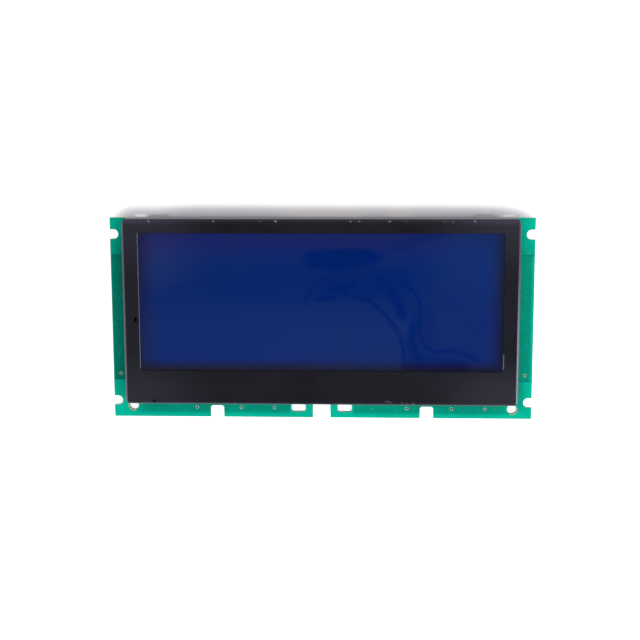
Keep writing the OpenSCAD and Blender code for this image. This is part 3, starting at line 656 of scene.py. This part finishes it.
def cone(centre, pad_r, pin_r, height):
    """Solder cone with a hollow flank, hanging under the board round a pin."""
    steps = [(pad_r, 0.0), (pad_r, 0.04), (pad_r * 0.72, height * 0.2), (pin_r * 1.25, height * 0.55),
             (pin_r, height), (pin_r * 0.6, height), (pin_r * 0.6, 0.0)]
    lathe(joints, steps, centre, DOWN)


def row_of(node, count, width):
    """Middles of a row of like pieces that fills a node's box along X."""
    low, high = (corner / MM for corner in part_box(node))
    step = (high.x - low.x - width) / (count - 1)
    return [low.x + width / 2 + i * step for i in range(count)]


# Widths and numbers of the soldered pins, and length of a chip part's tinned end
LEAD_PIN, HEADER_PIN = 0.6, 0.4
LEAD_PINS, SIGNAL_PINS, LIGHT_PINS = 2, 20, 3
END_CAP = 0.4
lead_low, lead_high = (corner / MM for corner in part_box("backlight_pins"))
for x in row_of("backlight_pins", LEAD_PINS, LEAD_PIN):
    cone(Vector((x, (lead_low.y + lead_high.y) / 2, REAR_Z)), pad_r=0.95, pin_r=0.44, height=0.75)
for node, count in (("signal_pins", SIGNAL_PINS), ("light_pins", LIGHT_PINS)):
    foot_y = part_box(node)[0].y / MM + HEADER_PIN / 2
    for x in row_of(node, count, HEADER_PIN):
        cone(Vector((x, foot_y, REAR_Z)), pad_r=0.48, pin_r=0.29, height=0.5)


def islands(node):
    """Lowest and highest corner of each separate solid in a node."""
    build = bmesh.new()
    build.from_mesh(NODES[node].data)
    bmesh.ops.remove_doubles(build, verts=build.verts, dist=1e-7)
    left = dict.fromkeys(build.verts)
    found = []
    while left:
        queue, group = [left.popitem()[0]], []
        while queue:
            vert = queue.pop()
            group.append(vert.co / MM)
            for edge in vert.link_edges:
                other = edge.other_vert(vert)
                if other in left:
                    del left[other]
                    queue.append(other)
        found.append([Vector(pick(place[k] for place in group) for k in range(3)) for pick in (min, max)])
    build.free()
    return found


# Solder fillet on the outer side of both tinned ends of each small capacitor and resistor
bodies = islands("ceramic_capacitors") + islands("chip_resistors")
for low, high in bodies:
    middle, tall = (low + high) / 2, high.z - low.z
    for side in (-1, 1):
        tip = (high.x - low.x) / 2 + END_CAP
        start = Vector((middle.x + side * tip, middle.y, REAR_Z))
        fillet = [(-0.1, 0), (-0.1, tall * 0.62), (0, tall * 0.6),
                  (0.06, tall * 0.32), (0.18, tall * 0.12), (0.4, 0)]
        extrude(joints, fillet, start, Vector((side, 0, 0)), DOWN, high.y - low.y + 0.1)
new_piece("solder_joints", joints, SOLDER)

# Copper tracks under the mask of the board's rear, and the small plated holes where they end
TRACK_W, TRACK_H, WIDE_TRACK = 0.2, 0.03, 0.9
tracks, vias = bmesh.new(), bmesh.new()
LEFT, RIGHT, BELOW, ABOVE = (-1, 0), (1, 0), (0, -1), (0, 1)


def track(points, width=TRACK_W, cut=0.3):
    """Low ribbon along a path on the board's rear, its square corners cut at 45 degrees."""
    corners = [Vector(point) for point in points]
    eased = [corners[0]]
    for before, corner, after in zip(corners, corners[1:], corners[2:]):
        for other in (before, after):
            toward = other - corner
            eased.append(corner + toward.normalized() * min(cut, toward.length * 0.4))
    eased.append(corners[-1])
    origin = Vector((0, 0, REAR_Z - TRACK_H / 2 + 0.005))
    extrude(tracks, strip_outline(eased, width), origin, Vector((1, 0, 0)), Vector((0, 1, 0)), TRACK_H)


def via(place, r=0.25):
    """Small plated hole, its middle a dark disc of painted shade."""
    profile = [(0.02, 0.0), (0.02, 0.012), (r * 0.5, 0.014), (r * 0.6, 0.04), (r * 0.9, 0.04), (r, 0.0)]
    lathe(vias, profile, Vector((*place, REAR_Z)), DOWN, segments=10, inner=(0, 1, 5))


def stubs(row, outward, lengths, blocked=()):
    """Short tracks from a row of leads to plated holes in staggered rows, left out at blocked ranges of X."""
    for i, foot in enumerate(row):
        end = foot + Vector(outward) * (FOOT_LAP + lengths[i % len(lengths)])
        if not any(low < end.x < high for low, high in blocked):
            track([foot, end])
            via(end)


def links(first, second):
    """Straight tracks between facing leads at the same height."""
    for foot in first:
        for other in second:
            if abs(foot.y - other.y) < 0.01:
                track([foot, other])


# Stubs of the chips' leads, nested bends between the column drivers, and links from the row drivers
# to each other and to the controller; the gaps are ranges of X that stubs keep free
NESTED, NEST_STEP, NEST_END_Y = 8, 0.42, -24.0
ROW_DRIVER_X, ROW_GAP_X, MEMORY_GAP_X = (-62.0, -41.0), (-49.3, -46.2), (1.4, 4.6)
for number, (low, high) in enumerate(package_boxes("column_drivers", 4)):
    middle = (low.x + high.x) / 2
    stubs(feet["column_drivers", number, *BELOW], BELOW, (1.6, 2.4))
    stubs(feet["column_drivers", number, *ABOVE], ABOVE, (0.6, 1.2), [(middle - 1.5, middle + 1.5)])
    for side in (LEFT, RIGHT):
        row = feet["column_drivers", number, *side]
        outer = (number, side) in ((0, LEFT), (3, RIGHT))
        stubs(row[3 if outer else NESTED:], side, (0.7, 1.4))
        for i, foot in enumerate(() if outer else row[:NESTED]):
            turn = foot.x + side[0] * (FOOT_LAP + 0.5 + NEST_STEP * i)
            end = Vector((turn, NEST_END_Y - 0.8 * (i % 3)))
            track([foot, (turn, foot.y), end])
            via(end, 0.2)
for number, middle in enumerate(ROW_DRIVER_X):
    stubs(feet["row_drivers", number, *ABOVE], ABOVE, (0.8, 1.5), [(middle - 1.5, middle + 1.5)])
    stubs(feet["row_drivers", number, *BELOW], BELOW, (0.6,), [ROW_GAP_X])
stubs(feet["row_drivers", 0, *LEFT], LEFT, (1.0, 1.8))
links(feet["row_drivers", 0, *RIGHT], feet["row_drivers", 1, *LEFT])
links(feet["row_drivers", 1, *RIGHT], feet["controller_chip", 0, *LEFT])
stubs(feet["memory_chip", 0, *ABOVE], ABOVE, (0.8, 1.6), [MEMORY_GAP_X])
stubs(feet["memory_chip", 0, *BELOW], BELOW, (0.8, 1.6))
stubs(feet["bias_amplifier", 0, *ABOVE], ABOVE, (0.8, 1.6))
stubs(feet["bias_amplifier", 0, *BELOW], BELOW, (0.8, 1.6))

# Data lines from the signal header to the controller, and the bus along the column drivers
pin_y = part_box("signal_pins")[0].y / MM
pins = [Vector((x, pin_y)) for x in row_of("signal_pins", SIGNAL_PINS, HEADER_PIN)]
side_row = feet["controller_chip", 0, *RIGHT][::-1]
DATA_LINES, BUS_LINES, LINE_STEP = 5, 6, 0.5
CHANNEL_X, TURN_OFF_Y = -10.2, 24.0
BUS_Y, BUS_END_X, BUS_VIA_X = 0.45, 58.0, (-15.91, 15.91, 47.74)
for i in range(DATA_LINES):
    channel = CHANNEL_X + LINE_STEP * i
    shift = abs(channel - pins[i].x)
    turns = [(pins[i].x, TURN_OFF_Y), (channel, TURN_OFF_Y - shift), (channel, side_row[i].y)]
    track([pins[i], *turns, side_row[i]])
stubs(pins[DATA_LINES:], BELOW, (0.5, 0.9))
stubs(side_row[DATA_LINES + 1:], RIGHT, (0.7, 1.5))
stubs(feet["controller_chip", 0, *ABOVE], ABOVE, (0.3, 0.9))
lower_row = feet["controller_chip", 0, *BELOW][::-1]
stubs(lower_row[BUS_LINES:], BELOW, (0.7, 1.4))
for i, foot in enumerate(lower_row[:BUS_LINES]):
    level = BUS_Y - LINE_STEP * i
    end = Vector((BUS_END_X - 0.8 * i, level))
    track([foot, (foot.x, level), end])
    via(end, 0.22)
    for middle in BUS_VIA_X:
        via((middle + 1.3 * (i - 2.5), level), 0.22)

# Links of the pull-up resistors and the bias ladder, and wide tracks of the supply and the backlight
PULL_UP_X, PULL_UP_Y = (-2.0, 2.0), 25.75
LADDER_Y = (4.85, 7.45, 10.05, 12.65, 15.25)
RAIL_X, RUNG_X, LADDER_PAD_X, LADDER_VIA_X = 30.5, 30.55, 31.3, 38.6
TANTALUM_Y, TANTALUM_ENDS = (4.05, 10.05, 16.05), ((-1, 60.6), (1, 65.4))
SUPPLY_X, SUPPLY_Y, BACKLIGHT_Y = 70.2, 24.2, -21.85
for x in PULL_UP_X:
    track([(x - 1.0, PULL_UP_Y), (x + 1.0, PULL_UP_Y)])
for y in LADDER_Y:
    track([(33.2, y), (35.2, y)])
    track([(37.1, y), (LADDER_VIA_X, y)])
    via((LADDER_VIA_X, y))
first_y, last_y = LADDER_Y[0], LADDER_Y[-1]
track([(LADDER_PAD_X, first_y), (RAIL_X, first_y), (RAIL_X, last_y), (LADDER_PAD_X, last_y)])
for y in LADDER_Y[1:-1]:
    track([(RUNG_X, y), (LADDER_PAD_X, y)])
for y in TANTALUM_Y:
    for way, x in TANTALUM_ENDS:
        track([(x, y), (x + way * 2.2, y)], WIDE_TRACK)
        via((x + way * 1.2, y))
        via((x + way * 1.9, y))
light_x = row_of("light_pins", LIGHT_PINS, HEADER_PIN)
stubs([Vector((x, pin_y)) for x in light_x[1:]], BELOW, (0.9, 1.6))
supply = [(light_x[0], pin_y), (light_x[0], SUPPLY_Y), (SUPPLY_X, SUPPLY_Y),
          (SUPPLY_X, BACKLIGHT_Y), (63.4, BACKLIGHT_Y)]
track(supply, WIDE_TRACK, 1.2)
track([(-60.2, BACKLIGHT_Y), (-66.0, BACKLIGHT_Y)], WIDE_TRACK)
for x in (-65.8, -65.1, -64.4):
    via((x, BACKLIGHT_Y))
TRACK_MASK = Surface("track_mask", specular=0.2).mottle(
    srgb(4, 158, 128), srgb(14, 170, 140), 0.3, 0.4, 0.003)
new_piece("rear_tracks", tracks, TRACK_MASK)
via_piece = new_piece("rear_vias", vias, PLATING)
via_piece.data.materials.append(DARK_HOLE_FILL)

# Camera fitted to the photograph's four board edges; its turns are in degrees
LENS, SENSOR = 71.9, 36
CAMERA_PLACE = (0.0201, 0.07215, 0.4531)
TURN_Y, TURN_X, TURN_Z = 2.63, -9.24, -0.17
camera_data = bpy.data.cameras.new("camera")
camera_data.lens = LENS
camera_data.sensor_width = SENSOR
camera_data.clip_start = 0.01
camera_data.clip_end = 20
camera = bpy.data.objects.new("camera", camera_data)
camera.matrix_world = (
    Matrix.Translation(CAMERA_PLACE)
    @ Matrix.Rotation(math.radians(TURN_Y), 4, "Y")
    @ Matrix.Rotation(math.radians(TURN_X), 4, "X")
    @ Matrix.Rotation(math.radians(TURN_Z), 4, "Z")
)
SCENE.collection.objects.link(camera)
SCENE.camera = camera
SCENE.view_settings.view_transform = "Standard"

# Pale floor that keeps the shadow and otherwise reads as white; it glows least along the display's upper
# edge, where a darker colour adds painted shadow, and more at two small painted light patches there
FLOOR_SIZE = 3.0
FLOOR_LIFT = (0.62, 0.0)
SHADE_START_Y = (0.031, 0.036)
SHADE_END_Y, SHADE_TAIL_Y = (0.0426, 0.0364), (0.0465, 0.0430)
SHADE_LEFT, SHADE_LEFT_IN, SHADE_RIGHT = (-0.0787, -0.0687), (-0.060, -0.044), (0.084, 0.066)
SHADE_FOOT_Y = (0.0415, 0.0375)
FLOOR_PALE, FLOOR_PAINTED_SHADOW = (0.95, 0.95, 0.955, 1.0), (0.89, 0.85, 0.88, 1.0)
WHITE = (1.0, 1.0, 1.0, 1.0)
# Two small painted light patches on the floor by the display's upper edge.
LIGHT_PLACES = [(-0.0646, 0.0359, 0.0024, 0.0005), (0.0660, 0.0359, 0.0027, 0.0005)]
# Floor that the board hides from above, clear of its holes and notches, which doesn't glow:
# ranges of x on both sides and of y, and softness
COVERED = [
    (-1.0, 0.0690, -0.0270, 0.0345, 0.0015), (-1.0, 0.0725, -0.0255, 0.0250, 0.0012),
    (0.0160, 0.0310, -0.0335, -0.0240, 0.0025), (0.0445, 0.0620, -0.0335, -0.0240, 0.0025),
]
floor_build = bmesh.new()
bmesh.ops.create_grid(floor_build, x_segments=8, y_segments=8, size=FLOOR_SIZE)
floor_mesh = bpy.data.meshes.new("floor")
floor_build.to_mesh(floor_mesh)
floor_build.free()
floor = bpy.data.objects.new("floor", floor_mesh)
SCENE.collection.objects.link(floor)
floor_material = bpy.data.materials.new("floor")
floor_material.use_nodes = True
floor_graph = Graph(floor_material.node_tree)
floor_graph.tree.nodes.clear()
path = floor_graph.node("ShaderNodeLightPath").outputs
seen = floor_graph.largest([path["Is Camera Ray"], path["Is Glossy Ray"], path["Is Transmission Ray"]])
floor_x, floor_y, _ = floor_graph.axes(floor_graph.node("ShaderNodeTexCoord").outputs["Object"])
bright = [floor_graph.oval(floor_x, floor_y, *place) for place in LIGHT_PLACES]
shade = floor_graph.product(
    floor_graph.fade(floor_y, *SHADE_START_Y), floor_graph.fade(floor_y, *SHADE_TAIL_Y),
    floor_graph.fade(floor_y, *SHADE_END_Y, 0.25, 1.0),
    floor_graph.fade(floor_x, *SHADE_LEFT), floor_graph.fade(floor_x, *SHADE_LEFT_IN, 0.78, 1.0),
    floor_graph.fade(floor_x, *SHADE_RIGHT),
    *[floor_graph.fade(place, 1.3, 0.6, 1.0, 0.6) for place in bright],
)
# Painted shadow: a darker floor colour close to the display's upper edge.
foot = floor_graph.product(shade, floor_graph.fade(floor_y, *SHADE_FOOT_Y))
side_x = floor_graph.math("ABSOLUTE", floor_x)
covered = [
    floor_graph.product(
        floor_graph.fade(side_x, near - soft, near + soft),
        floor_graph.fade(side_x, far + soft, far - soft),
        floor_graph.fade(floor_y, low - soft, low + soft),
        floor_graph.fade(floor_y, high + soft, high - soft),
    )
    for near, far, low, high, soft in COVERED
]
floor_colour = floor_graph.mix(foot, FLOOR_PALE, FLOOR_PAINTED_SHADOW)
diffuse = floor_graph.node("ShaderNodeBsdfDiffuse", floor_colour)
lift = floor_graph.fade(floor_graph.largest([shade] + covered), 0.0, 1.0, *FLOOR_LIFT)
glow = floor_graph.node("ShaderNodeEmission", WHITE, floor_graph.product(seen, lift))
both = floor_graph.node("ShaderNodeAddShader", diffuse.outputs[0], glow.outputs[0])
floor_graph.node("ShaderNodeOutputMaterial", both.outputs[0])
floor_mesh.materials.append(floor_material)

# Soft dome of light, dim overhead where the display's face would mirror it, and brighter at the lower right
world = bpy.data.worlds.new("studio")
SCENE.world = world
world.use_nodes = True
sky = Graph(world.node_tree)
sky.tree.nodes.clear()
heading = world.node_tree.nodes.new("ShaderNodeTexCoord").outputs["Generated"]
east, north, height = sky.axes(heading)
HORIZON = (1.0, 1.0, 1.03, 1.0)
DOME = (0.30, 0.30, 0.32, 1.0)
DOME_TOP = (0.17, 0.20, 0.26, 1.0)
DOME_LEAN = (0.25, -0.25)
OVERHEAD_RISE, LOW_RISE = (55, 72), (32, 12)
rise = sky.math("ARCSINE", height)
overhead = sky.fade(rise, *map(math.radians, OVERHEAD_RISE))
low = sky.fade(rise, *map(math.radians, LOW_RISE))
lean = sky.math("ADD", sky.math("MULTIPLY", east, DOME_LEAN[0]), sky.math("MULTIPLY", north, DOME_LEAN[1]))

# What the glossy film mirrors from above: a soft bright ceiling, a dark oval and loose dark bands.
# MIRROR is the camera's place over the film's plane, and its height, in millimetres
MIRROR = (20.1, 72.15, 440.3)
aloft = [sky.math("DIVIDE", way, height) for way in (east, north)]
spot = sky.node("ShaderNodeCombineXYZ", *aloft, 0.0).outputs[0]


def film_place(x, y):
    """Direction that the camera sees mirrored at a place of the film, as a point one unit up."""
    return ((x - MIRROR[0]) / MIRROR[2], (y - MIRROR[1]) / MIRROR[2], 0.0)


def stroke(points, width, share):
    """Soft dark line along a path of the mirrored surroundings, in millimetres on the film."""
    nearest = None
    for first, second in zip(points, points[1:]):
        start, end = Vector(film_place(*first)), Vector(film_place(*second))
        run = end - start
        offset = sky.vector("SUBTRACT", spot, tuple(start))
        scaled = tuple(run / run.length_squared)
        along = sky.node("ShaderNodeVectorMath", offset, scaled, operation="DOT_PRODUCT")
        part = sky.node("ShaderNodeClamp", along.outputs["Value"], 0.0, 1.0).outputs[0]
        span = sky.node("ShaderNodeVectorMath", tuple(run), operation="SCALE")
        sky.put(span.inputs["Scale"], part)
        gap = sky.distance(offset, span.outputs["Vector"])
        nearest = gap if nearest is None else sky.math("MINIMUM", nearest, gap)
    half = width / 2 / MIRROR[2]
    return sky.fade(nearest, half * 1.6, half * 0.4, 0.0, share)


# Colours of the mirrored ceiling: over the film's lower part, upper part, upper edge and right end,
# and in the oval and bands
CEILING_LOW, CEILING_HIGH = (0.19, 0.29, 0.32, 1.0), (0.085, 0.18, 0.16, 1.0)
CEILING_EDGE = (0.20, 0.15, 0.20, 1.0)
RIGHT_LOW, RIGHT_HIGH = (0.13, 0.21, 0.34, 1.0), (0.17, 0.33, 0.50, 1.0)
CEILING_DARK = (0.0, 0.02, 0.06, 1.0)
# Middle and half sizes of the oval, whose X is measured along slanted lines
OVAL, OVAL_SLANT = (-8.7, 21.75, 13.3, 3.9), -0.75
# Points along each band, its width and its share
BANDS = [
    ([(-5.4, 6.4), (-4.2, 9.7), (-2.2, 12.4), (0.6, 14.2), (4.0, 15.3)], 1.3, 0.75),
    ([(2.5, 13.4), (14.0, 13.6), (26.5, 14.0)], 9.0, 0.45),
    ([(-0.6, 7.7), (1.5, 8.2), (4.2, 8.2)], 2.0, 0.9),
    ([(4.6, 11.2), (8.0, 11.8), (11.5, 12.8)], 2.6, 1.0),
    ([(7.5, 11.0), (9.6, 9.4)], 2.2, 1.0),
    ([(15.0, 23.4), (22.5, 24.0)], 3.0, 0.5),
    ([(-4.6, 23.0), (0.0, 24.0)], 2.6, 0.95),
    ([(11.0, 9.2), (17.2, 7.4), (22.4, 3.1), (26.2, -2.4), (28.2, -6.1), (29.0, -9.5), (29.4, -15.3)],
     1.3, 0.85),
    ([(19.6, 14.4), (23.2, 12.2), (26.5, 8.2), (27.4, 4.6), (28.4, 1.8)], 3.2, 0.85),
    ([(28.5, 14.4), (32.9, 10.1), (35.0, 4.9), (34.6, -3.0), (35.9, -7.4), (39.4, -10.4)], 1.2, 0.95),
    ([(39.4, -10.4), (46.8, -10.0), (51.0, -11.4), (55.1, -13.7)], 1.3, 0.95),
    ([(33.0, 4.0), (32.8, -1.0)], 2.0, 0.55),
    ([(32.6, -1.0), (32.0, -6.0), (32.2, -9.0), (33.4, -11.6), (35.0, -13.6), (35.5, -15.3)], 4.0, 0.8),
    ([(31.0, -15.0), (40.0, -15.2), (50.0, -15.6)], 5.0, 0.7),
    ([(-50.0, 10.4), (-41.0, 14.4), (-33.0, 18.0)], 3.4, 0.24),
    ([(26.0, 25.8), (30.0, 27.2), (34.0, 28.8), (44.0, 31.6)], 3.0, 0.45),
    ([(35.5, 2.0), (36.5, -8.0), (38.5, -13.0)], 9.0, 0.35),
]
x_film = sky.math("MULTIPLY_ADD", sky.axes(spot)[0], MIRROR[2], MIRROR[0])
y_film = sky.math("MULTIPLY_ADD", sky.axes(spot)[1], MIRROR[2], MIRROR[1])
ceiling = sky.mix(sky.fade(y_film, -3.0, 11.0), CEILING_LOW, CEILING_HIGH)
ceiling = sky.mix(sky.fade(y_film, 19.0, 27.0), ceiling, CEILING_EDGE)
right_end = sky.mix(sky.fade(y_film, 2.0, 22.0), RIGHT_LOW, RIGHT_HIGH)
ceiling = sky.mix(sky.fade(x_film, 30.0, 52.0), ceiling, right_end)
slanted = sky.math("MULTIPLY_ADD", y_film, OVAL_SLANT, x_film)
oval = sky.fade(sky.oval(slanted, y_film, *OVAL), 1.15, 0.85)
dark = sky.largest([oval] + [stroke(*band) for band in BANDS])
ceiling = sky.mix(dark, ceiling, CEILING_DARK)
strength = sky.math("ADD", lean, 1.0)
plain = sky.mix(low, sky.mix(overhead, DOME, DOME_TOP), HORIZON)
mirrored = sky.mix(low, sky.mix(overhead, DOME, ceiling), HORIZON)
rays = sky.node("ShaderNodeLightPath").outputs
shells = [sky.node("ShaderNodeBackground", colour, strength).outputs[0] for colour in (plain, mirrored)]
backdrop = sky.node("ShaderNodeBackground", WHITE, 1.0).outputs[0]
lit_by = sky.node("ShaderNodeMixShader", rays["Is Glossy Ray"], *shells).outputs[0]
straight = sky.largest([rays["Is Camera Ray"], rays["Is Transmission Ray"]])
sky.node("ShaderNodeOutputWorld", sky.node("ShaderNodeMixShader", straight, lit_by, backdrop).outputs[0])


def soft_lamp(name, azimuth, elevation, distance, size, power, glossy):
    """Disc lamp that faces the part; azimuth 0 is at the display's lower edge and 90 at its right."""
    lamp = bpy.data.lights.new(name, "AREA")
    lamp.shape = "DISK"
    lamp.size = size
    lamp.energy = power
    around, rise = math.radians(azimuth), math.radians(elevation)
    away = Vector((math.sin(around) * math.cos(rise), -math.cos(around) * math.cos(rise), math.sin(rise)))
    holder = bpy.data.objects.new(name, lamp)
    holder.location = away * distance
    holder.rotation_euler = away.to_track_quat("Z", "Y").to_euler()
    holder.visible_glossy = glossy
    SCENE.collection.objects.link(holder)


soft_lamp("key", azimuth=54, elevation=75, distance=0.9, size=0.96, power=7.6, glossy=False)
soft_lamp("edge", azimuth=78, elevation=28, distance=0.9, size=0.38, power=1.8, glossy=True)
